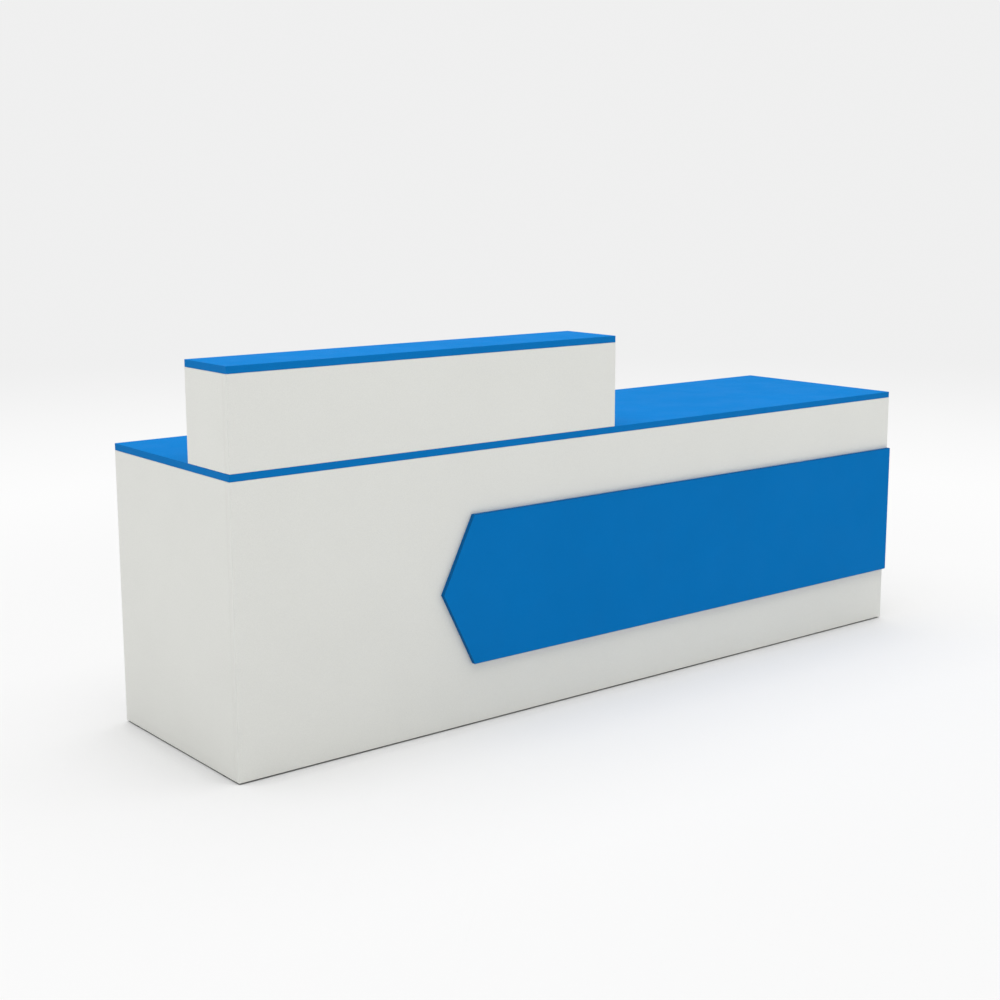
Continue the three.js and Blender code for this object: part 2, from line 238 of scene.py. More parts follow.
def noise(nodes, links, coordinate, size, detail, roughness=0.5):
    """Noise from 0 to 1 whose coarsest features are about size across."""
    texture = nodes.new("ShaderNodeTexNoise")
    texture.inputs["Scale"].default_value = 1 / size
    texture.inputs["Detail"].default_value = detail
    texture.inputs["Roughness"].default_value = roughness
    links.new(coordinate, texture.inputs["Vector"])
    return texture.outputs["Fac"]


def two_tones(nodes, links, factor, span, dark, light):
    """A colour that runs from dark to light as factor runs over span."""
    ramp = nodes.new("ShaderNodeValToRGB")
    for element, position, colour in zip(ramp.color_ramp.elements, span, (dark, light)):
        element.position = position
        element.color = (*colour, 1)
    links.new(factor, ramp.inputs["Fac"])
    return ramp.outputs["Color"]


def spread(nodes, links, factor, span, result):
    """A number that runs over result as factor runs over span, both given as [low, high]."""
    node = nodes.new("ShaderNodeMapRange")
    node.interpolation_type = "SMOOTHSTEP"
    node.inputs["From Min"].default_value = span[0]
    node.inputs["From Max"].default_value = span[1]
    node.inputs["To Min"].default_value = result[0]
    node.inputs["To Max"].default_value = result[1]
    links.new(factor, node.inputs["Value"])
    return node.outputs["Result"]


def bump(nodes, links, shader, height, depth, strength):
    node = nodes.new("ShaderNodeBump")
    node.inputs["Distance"].default_value = depth
    node.inputs["Strength"].default_value = strength
    links.new(height, node.inputs["Height"])
    links.new(node.outputs["Normal"], shader.inputs["Normal"])


def about(value, swing):
    return (value - swing, value + swing)


def shade(colour, factor):
    return tuple(channel * factor for channel in colour)


def grey(tone):
    return (tone, tone, tone)


def tinted(nodes, links, shader, factor, colour, shares):
    """Colours a surface between two shares of its colour as factor runs over a noise's span."""
    dark, light = shares
    tone = two_tones(nodes, links, factor, NOISE_SPAN, shade(colour, dark), shade(colour, light))
    links.new(tone, shader.inputs["Base Color"])


def glossed(nodes, links, shader, factor, roughness):
    """Makes a surface's roughness follow a noise."""
    gloss = spread(nodes, links, factor, NOISE_SPAN, about(roughness, GLOSS_SWING))
    links.new(gloss, shader.inputs["Roughness"])


def laminate(name, colour, pearl_size, swing=PALE_SWING, *, roughness, specular):
    """Melamine film: faint clouds in its tone, a wiped gloss and a fine texture of pearls."""
    material, nodes, links, shader = new_material(name)
    place = nodes.new("ShaderNodeTexCoord").outputs["Object"]
    cloud = noise(nodes, links, place, CLOUD_SIZE, detail=4, roughness=0.6)
    smear = noise(nodes, links, place, SMEAR_SIZE, detail=3)
    pearl = noise(nodes, links, place, pearl_size, detail=2)
    mottle = nodes.new("ShaderNodeMath")
    mottle.operation = "MULTIPLY_ADD"
    mottle.inputs[1].default_value = PEARL_TONE
    links.new(pearl, mottle.inputs[0])
    links.new(spread(nodes, links, cloud, (0, 1), (0, 1 - PEARL_TONE)), mottle.inputs[2])
    tinted(nodes, links, shader, mottle.outputs["Value"], colour, about(1, swing))
    glossed(nodes, links, shader, smear, roughness)
    shader.inputs["Specular IOR Level"].default_value = specular
    bump(nodes, links, shader, pearl, PEARL_DEPTH, PEARL_STRENGTH)
    return material


def metal(name, colour, mark, *, roughness):
    """Steel with fine marks in its finish, given by their lengths along each axis."""
    material, nodes, links, shader = new_material(name)
    place = nodes.new("ShaderNodeTexCoord").outputs["Object"]
    drawn = nodes.new("ShaderNodeMapping")
    drawn.inputs["Scale"].default_value = [1 / length for length in mark]
    links.new(place, drawn.inputs["Vector"])
    marks = noise(nodes, links, drawn.outputs["Vector"], 1, detail=3, roughness=0.65)
    stain = noise(nodes, links, place, STAIN_SIZE, detail=3)
    tinted(nodes, links, shader, marks, colour, MARK_TONES)
    glossed(nodes, links, shader, stain, roughness)
    shader.inputs["Metallic"].default_value = 1.0
    bump(nodes, links, shader, marks, MARK_DEPTH, MARK_STRENGTH)
    return material


def moulded(name, colour, *, roughness):
    """Moulded plastic or rubber with a fine spark-eroded grain."""
    material, nodes, links, shader = new_material(name)
    place = nodes.new("ShaderNodeTexCoord").outputs["Object"]
    spark = noise(nodes, links, place, SPARK_SIZE, detail=2)
    flow = noise(nodes, links, place, FLOW_SIZE, detail=2)
    tinted(nodes, links, shader, flow, colour, MOULD_TONES)
    glossed(nodes, links, shader, spark, roughness)
    bump(nodes, links, shader, spark, SPARK_DEPTH, SPARK_STRENGTH)
    return material


def chipboard():
    """Raw cut chipboard: pale chips in a brown binder."""
    material, nodes, links, shader = new_material("chipboard_core")
    place = nodes.new("ShaderNodeTexCoord").outputs["Object"]
    chips = nodes.new("ShaderNodeTexVoronoi")
    chips.inputs["Scale"].default_value = 1 / CHIP_SIZE
    links.new(place, chips.inputs["Vector"])
    distance = chips.outputs["Distance"]
    tone = two_tones(nodes, links, distance, CHIP_SPAN, CHIP, BINDER)
    links.new(tone, shader.inputs["Base Color"])
    shader.inputs["Roughness"].default_value = CHIP_ROUGHNESS
    bump(nodes, links, shader, distance, CHIP_DEPTH, CHIP_STRENGTH)
    return material


WHITE_BAND = shade(WHITE, BAND_TONE)
BLUE_BAND = shade(BLUE, BAND_TONE)
DARK_BAND_BLUE = shade(BLUE, DARK_BAND_TONE)
BACKING = shade(WHITE, BACKING_TONE)
GREY_BAND = shade(GREY_BOARD, DRAWER_BAND_TONE)

white_face = laminate("white_laminate_face", WHITE, FACE_PEARL, roughness=0.5, specular=0.25)
white_band = laminate("white_edge_band", WHITE_BAND, BAND_PEARL, roughness=0.42, specular=0.3)
blue_face = laminate("blue_laminate_face", BLUE, FACE_PEARL, BLUE_SWING, roughness=0.8, specular=0.035)
blue_band = laminate("blue_edge_band", BLUE_BAND, BAND_PEARL, BLUE_SWING, roughness=0.65, specular=0.05)
dark_blue_band = laminate("dark_blue_edge_band", DARK_BAND_BLUE, BAND_PEARL, BLUE_SWING, roughness=0.65, specular=0.05)
backing = laminate("backing_sheet", BACKING, FACE_PEARL, roughness=0.6, specular=0.2)
drawer_face = laminate("drawer_board_face", GREY_BOARD, FACE_PEARL, roughness=0.55, specular=0.25)
drawer_band = laminate("drawer_edge_band", GREY_BAND, BAND_PEARL, roughness=0.5, specular=0.25)
core = chipboard()
brushed = metal("brushed_steel", STEEL, BRUSH_MARK, roughness=0.3)
zinc = metal("zinc_plate", ZINC, ROLL_MARK, roughness=0.36)
screw_steel = metal("screw_steel", SCREW_STEEL, BLAST_MARK, roughness=0.32)
black_plastic = moulded("black_plastic", BLACK, roughness=0.5)
bumper_rubber = moulded("bumper_rubber", RUBBER, roughness=0.75)
white_plastic = moulded("white_plastic", IVORY, roughness=0.45)

# Materials of a board: its last face, its first face and its edge band
WHITE_FACES = (white_face, white_face, white_band)
BLUE_FACES = (blue_face, backing, blue_band)
ACCENT_FACES = (blue_face, backing, dark_blue_band)
DRAWER_FACES = (drawer_face, drawer_face, drawer_band)
CORE_INDEX = 3  # of the raw core, which comes after those three


# Mesh helpers


def new_object(name, work, materials):
    """An object from a bmesh, which is used up."""
    bmesh.ops.recalc_face_normals(work, faces=work.faces)
    mesh = bpy.data.meshes.new(name)
    work.to_mesh(mesh)
    work.free()
    for material in materials:
        mesh.materials.append(material)
    made = bpy.data.objects.new(name, mesh)
    bpy.context.scene.collection.objects.link(made)
    return made


def finished(made, body, slot, *nodes):
    """A piece shaded, riding on its body and standing for its CAD nodes, if it has any."""
    mesh = made.data
    mesh.polygons.foreach_set("use_smooth", [True] * len(mesh.polygons))
    mesh.set_sharp_from_angle(angle=SHARP_ANGLE)
    weighted = made.modifiers.new("even_faces", "WEIGHTED_NORMAL")
    weighted.keep_sharp = True
    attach(made, body)
    if nodes:
        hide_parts(*nodes)


def combine(made, other, operation):
    """Cuts another object out of one that is made, or joins it on, and throws it away."""
    boolean = made.modifiers.new("combine", "BOOLEAN")
    boolean.operation = operation
    boolean.solver = "EXACT"
    boolean.object = other
    graph = bpy.context.evaluated_depsgraph_get()
    mesh = bpy.data.meshes.new_from_object(made.evaluated_get(graph))
    made.modifiers.clear()
    old = made.data
    made.data = mesh
    mesh.name = made.name
    bpy.data.meshes.remove(old)
    bpy.data.objects.remove(other)


def facing(direction, place):
    """A placement that turns Z to a direction and moves the origin to a place."""
    turn = UP.rotation_difference(Vector(direction)).to_matrix().to_4x4()
    return Matrix.Translation(place) @ turn


def arc(centre, radius, start, end, steps):
    """Points of an arc, with its angles in degrees."""
    points = []
    for step in range(steps + 1):
        angle = math.radians(start + (end - start) * step / steps)
        points.append(Vector(centre) + radius * Vector((math.cos(angle), math.sin(angle))))
    return points


def turned_ring(work, radius, height, sides, placement, ripple):
    """A ring of points about Z, or the one point on it where the radius is 0."""
    ring = []
    for i in range(sides if radius else 1):
        angle = 2 * math.pi * i / sides
        reach = radius + ripple(angle, height) if ripple and radius else radius
        point = Vector((reach * math.cos(angle), reach * math.sin(angle), height))
        ring.append(work.verts.new(placement @ point))
    return ring


def lathe(work, profile, sides, placement=Matrix.Identity(4), ripple=None, closed=False):
    """Turns a profile of [radius, height] points about Z, then places the shell.

    A closed profile joins its last point to its first. ripple, where it is given, adds to the
    radius at an angle and a height.
    """
    rings = []
    for radius, height in profile:
        rings.append(turned_ring(work, radius, height, sides, placement, ripple))
    following = rings[1:] + rings[:1] if closed else rings[1:]
    for lower, upper in zip(rings, following):
        for i in range(sides):
            j = (i + 1) % sides
            corners = [lower[i % len(lower)], lower[j % len(lower)]]
            corners += [upper[j % len(upper)], upper[i % len(upper)]]
            work.faces.new(list(dict.fromkeys(corners)))


def rounded(outline, radius):
    """A convex outline, counter-clockwise, with an arc at each corner."""
    points = []
    count = len(outline)
    for i, here in enumerate(outline):
        back = (outline[i - 1] - here).normalized()
        on = (outline[(i + 1) % count] - here).normalized()
        half = back.angle(on) / 2
        centre = here + (back + on).normalized() * (radius / math.sin(half))
        start = math.degrees(math.atan2(-back.y, -back.x)) - 90
        points += arc(centre, radius, start, start + 180 - 2 * math.degrees(half), ARC_STEPS)
    return points


def inset(outline, distance):
    """An outline moved inwards, with its corners mitred."""
    moved = []
    count = len(outline)
    for i, here in enumerate(outline):
        arriving = (here - outline[i - 1]).normalized()
        leaving = (outline[(i + 1) % count] - here).normalized()
        first = Vector((-arriving.y, arriving.x))
        second = Vector((-leaving.y, leaving.x))
        moved.append(here + (first + second) * (distance / (1 + first.dot(second))))
    return moved


def skin(work, rings, material_index):
    """Walls between rings that have the same number of points."""
    count = len(rings[0])
    for lower, upper in zip(rings, rings[1:]):
        for i in range(count):
            j = (i + 1) % count
            wall = work.faces.new((lower[i], lower[j], upper[j], upper[i]))
            wall.material_index = material_index


def layered(outline, profile, place):
    """A closed shell from an outline and a profile of [inset, height] steps over its edge.

    place turns outline coordinates and a height into a point. The last face gets material 0,
    the first face gets material 1, and what runs between them gets material 2.
    """
    work = bmesh.new()
    rings = []
    for distance, height in profile:
        rings.append([work.verts.new(place(p.x, p.y, height)) for p in inset(outline, distance)])
    skin(work, rings, 2)
    work.faces.new(list(reversed(rings[0]))).material_index = 1
    work.faces.new(rings[-1]).material_index = 0
    return work


def round_profile(radius, thickness):
    """Steps over an edge that is rounded on both faces, without the faces themselves."""
    half = [(radius - p.x, radius - p.y) for p in arc((0, 0), radius, 90, 0, ARC_STEPS)]
    return half + [(distance, thickness - height) for distance, height in reversed(half)]


def board_profile(thickness):
    """Steps over a banded edge, with a glue line beside each face."""
    start = [(BAND + GLUE_LINE, 0.0), (BAND + GLUE_LINE / 2, GLUE_LINE / 2), (BAND, 0.0)]
    end = [(distance, thickness - height) for distance, height in reversed(start)]
    return start + round_profile(ARRIS, thickness) + end


def cutter(work, material_index):
    """A tool for combine, whose faces take one of the other object's materials."""
    for face in work.faces:
        face.material_index = material_index
    return new_object("cutter", work, [])


def box_cutter(low, high, material_index=0):
    work = bmesh.new()
    size = Matrix.Diagonal((*(Vector(high) - Vector(low)), 1))
    middle = Matrix.Translation((Vector(high) + Vector(low)) / 2)
    bmesh.ops.create_cube(work, size=1, matrix=middle @ size)
    return cutter(work, material_index)


def turned_cutter(profile, sides, place, material_index=0):
    work = bmesh.new()
    lathe(work, profile, sides, Matrix.Translation(place))
    return cutter(work, material_index)


# Boards


def rectangle(u0, v0, u1, v1):
    return [Vector(p) for p in ((u0, v0), (u1, v0), (u1, v1), (u0, v1))]


def laid(node, outline):
    """The banded board in a node's place: its outline is the node's box unless one is given.

    Its last face looks up, to the visitor or to +X, whichever way the board is laid.
    """
    low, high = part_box(node)
    size = high - low
    thin = min(range(3), key=lambda axis: size[axis])
    across, along = [axis for axis in range(3) if axis != thin]

    def place(u, v, height):
        point = Vector()
        point[across] = u
        point[along] = v
        point[thin] = high[thin] - height if thin == 1 else low[thin] + height
        return point

    outline = outline or rectangle(low[across], low[along], high[across], high[along])
    return layered(rounded(outline, CORNER), board_profile(size[thin]), place)


def board(node, body, slot, faces, cutters=(), outline=None):
    made = new_object(node + "_board", laid(node, outline), [*faces, core])
    for tool in cutters:
        combine(made, tool, "DIFFERENCE")
    finished(made, body, slot, node)


def worktop():
    low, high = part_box("worktop")
    liner_low, liner_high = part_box("grommet_liner")
    middle = (liner_low + liner_high) / 2
    start = low.z - BAND
    end = high.z + BAND
    profile = [(0, start), (GROMMET_HOLE, start), (GROMMET_HOLE, end), (0, end)]
    hole = turned_cutter(profile, GROMMET_SIDES, (middle.x, middle.y, 0), CORE_INDEX)
    board("worktop", "desk", "blue_laminate", BLUE_FACES, [hole])


def accent():
    """The plate with an arrow point on the visitor side."""
    low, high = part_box("accent_panel")
    corners = frame["nodes"]["accent_panel"].data.vertices
    shoulder = min(v.co.x for v in corners if v.co.z > high.z - MM)
    outline = rectangle(shoulder, low.z, high.x, high.z)
    outline.append(Vector((low.x, (low.z + high.z) / 2)))
    board("accent_panel", "desk", "blue_laminate", ACCENT_FACES, outline=outline)


def foot_axis(node):
    """The lowest and highest points on a foot's axis."""
    low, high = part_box(node)
    middle = (low + high) / 2
    return Vector((middle.x, middle.y, low.z)), Vector((middle.x, middle.y, high.z))


def foot_bore(upright, end):
    """Cuts the seat of a threaded sleeve and, above it, room for the tip of the stem."""
    base, tip = foot_axis(f"{upright}_{end}_foot")
    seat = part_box(upright + "_panel")[0].z + SLEEVE_LENGTH
    top = tip.z + BORE_ROOM
    profile = [(0, base.z), (SLEEVE_RADIUS, base.z), (SLEEVE_RADIUS, seat)]
    profile += [(STEM_BORE, seat), (STEM_BORE, top), (0, top)]
    return turned_cutter(profile, HOLE_SIDES, (base.x, base.y, 0), CORE_INDEX)


def uprights():
    """End panels and partitions, bored from below for their feet."""
    for name in UPRIGHTS:
        bores = [foot_bore(name, end) for end in FOOT_ENDS]
        board(name + "_panel", "desk", "white_laminate", WHITE_FACES, bores)


def white_boards():
    frame_boards = ("front_panel", "pedestal_floor", "kneehole_rail", "side_bay_rail")
    counter_boards = ("front_panel", "left_end", "divider", "right_end")
    for node in (*frame_boards, *("counter_" + name for name in counter_boards)):
        board(node, "desk", "white_laminate", WHITE_FACES)


def drawer_box(name):
    """A drawer's boards: the bottom panel lies in grooves in the sides and the front."""
    low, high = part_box(name + "_bottom")
    slack = Vector((JOINT_GAP, JOINT_GAP, JOINT_GAP))
    for part in ("front", "left_side", "right_side"):
        groove = box_cutter(low - slack, high + slack, CORE_INDEX)
        faces = WHITE_FACES if part == "front" else DRAWER_FACES
        slot = "white_laminate" if part == "front" else "drawer_board"
        board(f"{name}_{part}", name, slot, faces, [groove])
    for part in ("back", "bottom"):
        board(f"{name}_{part}", name, "drawer_board", DRAWER_FACES)


# Cam covers and bumpers


def dome(work, placement, radius, height):
    """A low round cap with a softened rim, standing on its placement's plane."""
    profile = [(0, 0), (radius, 0), (radius, height * DOME_RIM)]
    profile += [(radius * out, height * up) for out, up in DOME_STEPS]
    lathe(work, [*profile, (0, height)], HOLE_SIDES, placement)


def cam_places(node):
    """Points [y, z] of the cams on a board that stands along Y."""
    low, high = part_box(node)
    depth = high.y - low.y
    tall = high.z - low.z
    front = low.y + CAM_INSET
    top = high.z - CAM_INSET
    if node.startswith("counter"):
        y = low.y + depth * COUNTER_CAM
        return [(front, low.z + tall / 2), (y, low.z + CAM_INSET), (y, top)]
    places = [(front, low.z + tall * share) for share in CAMS_UP]
    return places + [(low.y + depth * share, top) for share in CAMS_ALONG]


def cam_covers():
    """White covers over the cams on the inside faces of the uprights and of the counter."""
    looking_right = ("left_end_panel", "pedestal_left_panel", "counter_left_end", "counter_divider")
    looking_left = ("right_end_panel", "pedestal_right_panel", "counter_right_end")
    work = bmesh.new()
    for sign, names in ((1, looking_right), (-1, looking_left)):
        for node in names:
            low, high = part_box(node)
            face = high.x if sign > 0 else low.x
            for y, z in cam_places(node):
                dome(work, facing((sign, 0, 0), (face, y, z)), COVER_RADIUS, COVER_HEIGHT)
    finished(new_object("cam_covers", work, [white_plastic]), "desk", "white_laminate")


def bumpers():
    """Rubber domes on the partitions' staff edges, which the drawer fronts close against."""
    work = bmesh.new()
    for upright in ("pedestal_left_panel", "pedestal_right_panel"):
        low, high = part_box(upright)
        middle = (low.x + high.x) / 2
        for drawer in DRAWERS:
            bottom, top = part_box(drawer + "_front")
            for z in (bottom.z + BUMPER_INSET, top.z - BUMPER_INSET):
                place = facing((0, 1, 0), (middle, high.y, z))
                dome(work, place, BUMPER_RADIUS, BUMPER_HEIGHT)
    finished(new_object("drawer_bumpers", work, [bumper_rubber]), "desk", "black_plastic")


# Drawer slides and screws


def ball_track(x):
    """How far a lip is pressed in at x from the back of its web."""
    share = abs(x - TRACK_MIDDLE) / TRACK_HALF
    return TRACK_DEPTH * math.cos(share * math.pi / 2) ** 2 if share < 1 else 0.0


def strip_sides(path, half):
    """The two sides of a strip along a path: the one on its right, then the one on its left."""
    right = []
    left = []
    last = len(path) - 1
    for i, here in enumerate(path):
        ahead = path[min(i + 1, last)] - path[max(i - 1, 0)]
        across = Vector((ahead.y, -ahead.x)).normalized() * half
        right.append(here + across)
        left.append(here - across)
    return right, left


def channel_section(reach, half):
    """Section of a pressed channel: the back of its web at 0, its lips out to reach."""
    wall = SLIDE_WALL / 2
    lower = arc((SLIDE_BEND, SLIDE_BEND - half), SLIDE_BEND - wall, 180, 270, ARC_STEPS)
    length = reach - wall - SLIDE_BEND
    for step in range(1, TRACK_STEPS + 1):
        x = SLIDE_BEND + length * step / TRACK_STEPS
        lower.append(Vector((x, wall - half + ball_track(x))))
    path = [Vector((p.x, -p.y)) for p in reversed(lower)] + lower
    outside, inside = strip_sides(path, wall)
    lower_end = arc(path[-1], wall, -90, 90, ARC_STEPS)[1:-1]
    upper_end = arc(path[0], wall, -90, 90, ARC_STEPS)[1:-1]
    return outside + lower_end + list(reversed(inside)) + upper_end


def slide_part(node, body, sign):
    """A channel along Y whose web lies on the side away from sign."""
    low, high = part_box(node)
    half = (high.z - low.z) / 2
    middle = (high.z + low.z) / 2
    web = low.x if sign > 0 else high.x
    section = channel_section(high.x - low.x, half)
    work = bmesh.new()
    ends = []
    for y in (low.y, high.y):
        ends.append([work.verts.new((web + sign * p.x, y, middle + p.y)) for p in section])
    skin(work, ends, 0)
    for end in ends:
        work.faces.new(end)
    finished(new_object(node + "_channel", work, [zinc]), body, "zinc_steel", node)


def mesh_of(made):
    """The mesh of an object that is thrown away."""
    mesh = made.data
    bpy.data.objects.remove(made)
    return mesh


def screw_head():
    """A pan head with a crossed recess, standing on Z = 0."""
    work = bmesh.new()
    shoulder = (SCREW_RADIUS - SCREW_ROUND, SCREW_HEIGHT - SCREW_ROUND)
    crown = [tuple(p) for p in arc(shoulder, SCREW_ROUND, 0, CROWN_SWEEP, ARC_STEPS)]
    lathe(work, [(0, 0), (SCREW_RADIUS, 0), *crown, (0, SCREW_HEIGHT)], SCREW_SIDES)
    head = new_object("screw_head", work, [])
    bottom = SCREW_HEIGHT - RECESS_DEPTH
    for x, y in ((RECESS_REACH, RECESS_WIDTH / 2), (RECESS_WIDTH / 2, RECESS_REACH)):
        combine(head, box_cutter((-x, -y, bottom), (x, y, SCREW_HEIGHT * 2)), "DIFFERENCE")
    return mesh_of(head)


def screws(name, head, placements, body):
    """One piece with a screw head at each placement."""
    work = bmesh.new()
    for placement in placements:
        start = len(work.verts)
        work.from_mesh(head)
        work.verts.ensure_lookup_table()
        bmesh.ops.transform(work, matrix=placement, verts=work.verts[start:])
    finished(new_object(name, work, [screw_steel]), body, "zinc_steel")


def on_web(node, sign, shares):
    """Placements on the inside of a channel's web."""
    low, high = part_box(node)
    web = low.x + SLIDE_WALL if sign > 0 else high.x - SLIDE_WALL
    middle = (low.z + high.z) / 2
    reach = high.y - low.y
    return [facing((sign, 0, 0), (web, low.y + reach * share, middle)) for share in shares]


def slides(head):
    fixed = []
    for drawer in DRAWERS:
        moving = []
        for side, sign in (("left", 1), ("right", -1)):
            rail = f"{drawer}_{side}_rail"
            runner = f"{drawer}_{side}_runner"
            slide_part(rail, "desk", sign)
            slide_part(runner, drawer, -sign)
            fixed += on_web(rail, sign, RAIL_SCREWS)
            moving += on_web(runner, -sign, RUNNER_SCREWS)
        screws(drawer + "_runner_screws", head, moving, drawer)
    screws("rail_screws", head, fixed, "desk")


# Handles


def handle_post(place, length):
    """A post with a rosette at its foot, along +Y."""
    work = bmesh.new()
    edge = ROSETTE_HEIGHT - ROSETTE_CHAMFER
    profile = [(0, 0), (ROSETTE_RADIUS, 0), (ROSETTE_RADIUS, edge)]
    profile += [(ROSETTE_RADIUS - ROSETTE_CHAMFER, ROSETTE_HEIGHT), (POST_RADIUS, ROSETTE_HEIGHT)]
    profile += [(POST_RADIUS, length), (0, length)]
    lathe(work, profile, POST_SIDES, facing((0, 1, 0), place))
    return new_object("handle_post", work, [])


def handle(drawer, head):
    """A bar on two posts, and the screws that hold it from inside the drawer."""
    low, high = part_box(drawer + "_handle")
    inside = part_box(drawer + "_front")[0].y
    radius = (high.z - low.z) / 2
    half = (high.x - low.x) / 2
    middle = (low + high) / 2
    axis = high.y - radius
    end = [(0, -half), (radius - BAR_CHAMFER, -half), (radius, -half + BAR_CHAMFER)]
    work = bmesh.new()
    profile = end + [(r, -h) for r, h in reversed(end)]
    lathe(work, profile, BAR_SIDES, facing((1, 0, 0), (middle.x, axis, middle.z)))
    made = new_object(drawer + "_bar_handle", work, [brushed])
    placements = []
    for x in (middle.x - POST_SPREAD, middle.x + POST_SPREAD):
        combine(made, handle_post((x, low.y, middle.z), axis - low.y), "UNION")
        placements.append(facing((0, -1, 0), (x, inside, middle.z)))
    finished(made, drawer, "handle_steel", drawer + "_handle")
    screws(drawer + "_handle_screws", head, placements, drawer)


# Levelling feet


def rib(angle, height):
    """What a pad's ribs add to its radius at any height: 0 on a rib and less between two."""
    return RIB_DEPTH * (math.cos(PAD_RIBS * angle) - 1) / 2


def thread(angle, height):
    """What the thread adds to a stem's middle radius, from its root to its crest."""
    phase = (height / THREAD_PITCH - angle / (2 * math.pi)) % 1
    return THREAD_DEPTH * (0.5 - abs(2 * phase - 1))


def foot_mesh():
    """A ribbed pad and its threaded stem, standing on Z = 0."""
    low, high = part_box("left_end_front_foot")
    pad = (high.x - low.x) / 2
    flat = pad - PAD_CHAMFER
    rim = [(flat, 0), (pad, PAD_CHAMFER), (pad, PAD_HEIGHT - PAD_CHAMFER), (flat, PAD_HEIGHT)]
    work = bmesh.new()
    lathe(work, [(0, 0), *rim, (0, PAD_HEIGHT)], PAD_SIDES, ripple=rib)
    foot = new_object("foot", work, [black_plastic])
    root = PAD_HEIGHT / 2
    step = THREAD_PITCH / THREAD_STEPS
    count = round((high.z - low.z - root) / step)
    pitch_radius = STEM_RADIUS - THREAD_DEPTH / 2
    rings = [(pitch_radius, root + i * step) for i in range(count)]
    work = bmesh.new()
    lathe(work, [(0, root), *rings, (0, rings[-1][1])], STEM_SIDES, ripple=thread)
    combine(foot, new_object("stem", work, []), "UNION")
    return mesh_of(foot)


def sleeve(work, placement):
    """A threaded sleeve, flush with the lower edge of its upright."""
    outer = SLEEVE_RADIUS - SLEEVE_SLACK
    top = SLEEVE_LENGTH - SLEEVE_CHAMFER
    profile = [(STEM_BORE, SLEEVE_CHAMFER), (STEM_BORE + SLEEVE_CHAMFER, 0)]
    profile += [(outer - SLEEVE_CHAMFER, 0), (outer, SLEEVE_CHAMFER), (outer, top), (STEM_BORE, top)]
    lathe(work, profile, HOLE_SIDES, placement, closed=True)


def feet():
    pattern = foot_mesh()
    sleeves = bmesh.new()
    for upright in UPRIGHTS:
        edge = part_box(upright + "_panel")[0].z
        for end in FOOT_ENDS:
            node = f"{upright}_{end}_foot"
            base = foot_axis(node)[0]
            mesh = pattern.copy()
            mesh.transform(Matrix.Translation(base))
            made = bpy.data.objects.new(node + "_screw", mesh)
            bpy.context.scene.collection.objects.link(made)
            finished(made, node, "black_plastic", node)
            sleeve(sleeves, Matrix.Translation((base.x, base.y, edge)))
    finished(new_object("foot_sleeves", sleeves, [screw_steel]), "desk", "zinc_steel")


# Cable grommet


def grommet_liner():
    """A tube through the worktop, with a rim on top and a ledge inside for the cap."""
    low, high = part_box("grommet_liner")
    middle = (low + high) / 2
    rim = (high.x - low.x) / 2
    top = high.z
    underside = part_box("worktop")[1].z + JOINT_GAP
    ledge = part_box("grommet_cap")[0].z - JOINT_GAP
    tube = GROMMET_HOLE - JOINT_GAP
    inside = tube - LINER_WALL
    throat = inside - LEDGE_REACH
    soft = PLASTIC_ROUND
    profile = [(inside, top - soft), (inside, ledge), (throat, ledge), (throat, ledge - LEDGE_DEPTH)]
    profile += [(inside, ledge - 2 * LEDGE_DEPTH), (inside, low.z), (tube, low.z), (tube, underside)]
    profile.append((rim, underside))
    bend = arc((rim - soft, top - RIM_DROP), soft, 0, RIM_SWEEP, ARC_STEPS)
    profile += [tuple(p) for p in bend]
    profile += [(rim - RIM_SLOPE, top), (inside + soft, top)]
    work = bmesh.new()
    place = Matrix.Translation((middle.x, middle.y, 0))
    lathe(work, profile, GROMMET_SIDES, place, closed=True)
    made = new_object("grommet_liner_ring", work, [black_plastic])
    finished(made, "desk", "black_plastic", "grommet_liner")


def notched_circle(radius):
    """A circle with a rounded notch at -Y, counter-clockwise."""
    bottom = NOTCH_DEPTH - radius
    lip_x = NOTCH_HALF + NOTCH_ROUND
    mouth = math.degrees(math.asin(lip_x / (radius - NOTCH_ROUND)))
    lip_y = -math.cos(math.radians(mouth)) * (radius - NOTCH_ROUND)
    corner_x = NOTCH_HALF - NOTCH_ROUND
    corner_y = bottom - NOTCH_ROUND
    outline = arc((0, 0), radius, mouth - 90, 270 - mouth, GROMMET_SIDES)[:-1]
    outline += arc((-lip_x, lip_y), NOTCH_ROUND, -90 - mouth, 0, ARC_STEPS)
    outline += arc((-corner_x, corner_y), NOTCH_ROUND, 180, 90, ARC_STEPS)
    outline += arc((corner_x, corner_y), NOTCH_ROUND, 90, 0, ARC_STEPS)
    outline += arc((lip_x, lip_y), NOTCH_ROUND, 180, 270 + mouth, ARC_STEPS)[:-1]
    return outline


def grommet_cap():
    """A disc with a notch on the counter side for the cables."""
    low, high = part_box("grommet_cap")
    liner_low, liner_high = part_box("grommet_liner")
    centre = (liner_low + liner_high) / 2

    def place(u, v, height):
        return (centre.x + u, centre.y + v, low.z + height)

    outline = notched_circle((high.x - low.x) / 2)
    work = layered(outline, round_profile(PLASTIC_ROUND, high.z - low.z), place)
    made = new_object("grommet_cap_disc", work, [black_plastic] * 3)
    finished(made, "grommet_cap", "black_plastic", "grommet_cap")


# Studio


def background_rays(nodes, links):
    """1 for a ray that sees the background directly, in gloss or through glass, else 0."""
    rays = nodes.new("ShaderNodeLightPath")
    seen = rays.outputs["Is Camera Ray"]
    for other in ("Is Glossy Ray", "Is Transmission Ray"):
        either = nodes.new("ShaderNodeMath")
        either.operation = "MAXIMUM"
        links.new(seen, either.inputs[0])
        links.new(rays.outputs[other], either.inputs[1])
        seen = either.outputs["Value"]
    return seen


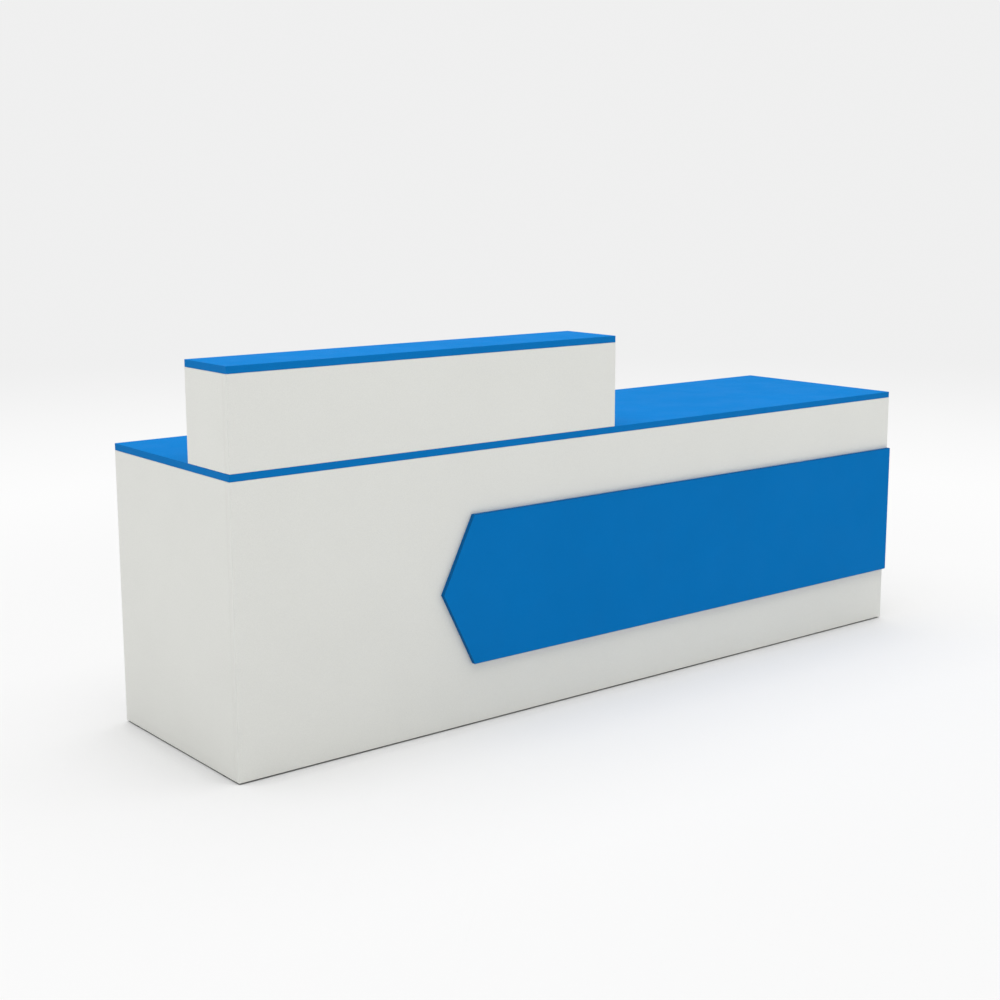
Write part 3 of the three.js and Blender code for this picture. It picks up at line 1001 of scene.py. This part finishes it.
def mixed(nodes, links, factor, first, second, output):
    """The output shows the first shader where factor is 0 and the second where it is 1."""
    mix = nodes.new("ShaderNodeMixShader")
    links.new(factor, mix.inputs["Fac"])
    links.new(first, mix.inputs[1])
    links.new(second, mix.inputs[2])
    links.new(mix.outputs["Shader"], nodes[output].inputs["Surface"])


def openness(nodes, reach):
    """How open the floor is out to a reach: 1 away from the desk and about half beside it."""
    cover = nodes.new("ShaderNodeAmbientOcclusion")
    cover.samples = COVER_SAMPLES
    cover.inputs["Distance"].default_value = reach
    return cover.outputs["AO"]


def floor_material():
    """Pale floor that keeps the desk's shadow, with painted shade under the desk and a painted shadow
    beside it, and runs out into the backdrop's tone.
    """
    material, nodes, links, shader = new_material("studio_floor")
    place = nodes.new("ShaderNodeTexCoord").outputs["Object"]
    length = nodes.new("ShaderNodeVectorMath")
    length.operation = "LENGTH"
    links.new(place, length.inputs[0])
    distance = length.outputs["Value"]

    # Painted shade: the floor's own colour turns a near-black grey where boards cover it, under the
    # desk
    painted_shade_cover = openness(nodes, PAINTED_SHADE_REACH)
    tone = two_tones(nodes, links, painted_shade_cover, PAINTED_SHADE_SPAN, grey(PAINTED_SHADE_TONE), grey(FLOOR_TONE))
    links.new(tone, shader.inputs["Base Color"])
    shader.inputs["Roughness"].default_value = FLOOR_ROUGHNESS
    shader.inputs["Specular IOR Level"].default_value = 0.0

    away = spread(nodes, links, distance, FAR_SPAN, (0, 1))
    glow = nodes.new("ShaderNodeEmission")
    backdrop = two_tones(nodes, links, away, (0, 1), grey(NEAR_TONE), grey(FAR_TONE))
    links.new(backdrop, glow.inputs["Color"])

    # Painted light and shade: for camera, gloss and glass rays a glow of the backdrop tone lightens the
    # floor's shadow, and an occlusion test holds that glow back beside the boards, painting a shadow
    # there
    lift = nodes.new("ShaderNodeMath")
    lift.operation = "MULTIPLY"
    links.new(background_rays(nodes, links), lift.inputs[0])
    painted_shadow_openness = openness(nodes, PAINTED_SHADOW_REACH)
    links.new(spread(nodes, links, painted_shadow_openness, PAINTED_SHADOW_SPAN, (0, SHADOW_LIFT)), lift.inputs[1])
    fade = spread(nodes, links, distance, FADE_SPAN, (0, 1))
    links.new(lift.outputs["Value"], fade.node.inputs["To Min"])
    mixed(nodes, links, fade, shader.outputs["BSDF"], glow.outputs["Emission"], "Material Output")
    return material


def floor():
    work = bmesh.new()
    bmesh.ops.create_grid(work, x_segments=1, y_segments=1, size=FLOOR_HALF)
    new_object("studio_floor", work, [floor_material()])


def world():
    made = bpy.data.worlds.new("studio")
    made.use_nodes = True
    bpy.context.scene.world = made
    nodes = made.node_tree.nodes
    links = made.node_tree.links
    light = nodes["Background"]
    light.inputs["Color"].default_value = (1, 1, 1, 1)
    light.inputs["Strength"].default_value = WORLD_LIGHT
    seen = nodes.new("ShaderNodeBackground")
    seen.inputs["Color"].default_value = (*grey(FAR_TONE), 1)
    shaders = light.outputs["Background"], seen.outputs["Background"]
    mixed(nodes, links, background_rays(nodes, links), *shaders, "World Output")


def softbox(name, place, aim, size, power):
    data = bpy.data.lights.new(name, "AREA")
    data.shape = "RECTANGLE"
    data.size, data.size_y = size
    data.energy = power
    lamp = bpy.data.objects.new(name, data)
    lamp.location = place
    lamp.rotation_euler = (Vector(aim) - Vector(place)).to_track_quat("-Z", "Y").to_euler()
    bpy.context.scene.collection.objects.link(lamp)


def camera():
    data = bpy.data.cameras.new("camera")
    data.lens = CAMERA_LENS
    data.sensor_width = SENSOR
    data.shift_y = CAMERA_SHIFT
    data.clip_end = 2 * FLOOR_HALF
    eye = bpy.data.objects.new("camera", data)
    eye.location = CAMERA_PLACE
    eye.rotation_euler = (math.pi / 2 + CAMERA_PITCH, CAMERA_LEAN, CAMERA_TURN)
    bpy.context.scene.collection.objects.link(eye)
    bpy.context.scene.camera = eye


# The desk

worktop()
board("counter_top", "desk", "blue_laminate", BLUE_FACES)
accent()
uprights()
white_boards()
pan_head = screw_head()
slides(pan_head)
for drawer in DRAWERS:
    drawer_box(drawer)
    handle(drawer, pan_head)
cam_covers()
bumpers()
feet()
grommet_liner()
grommet_cap()

# The studio

floor()
world()
for name, values in SOFTBOXES.items():
    softbox(name, **values)
camera()
bpy.context.scene.view_settings.view_transform = "Standard"
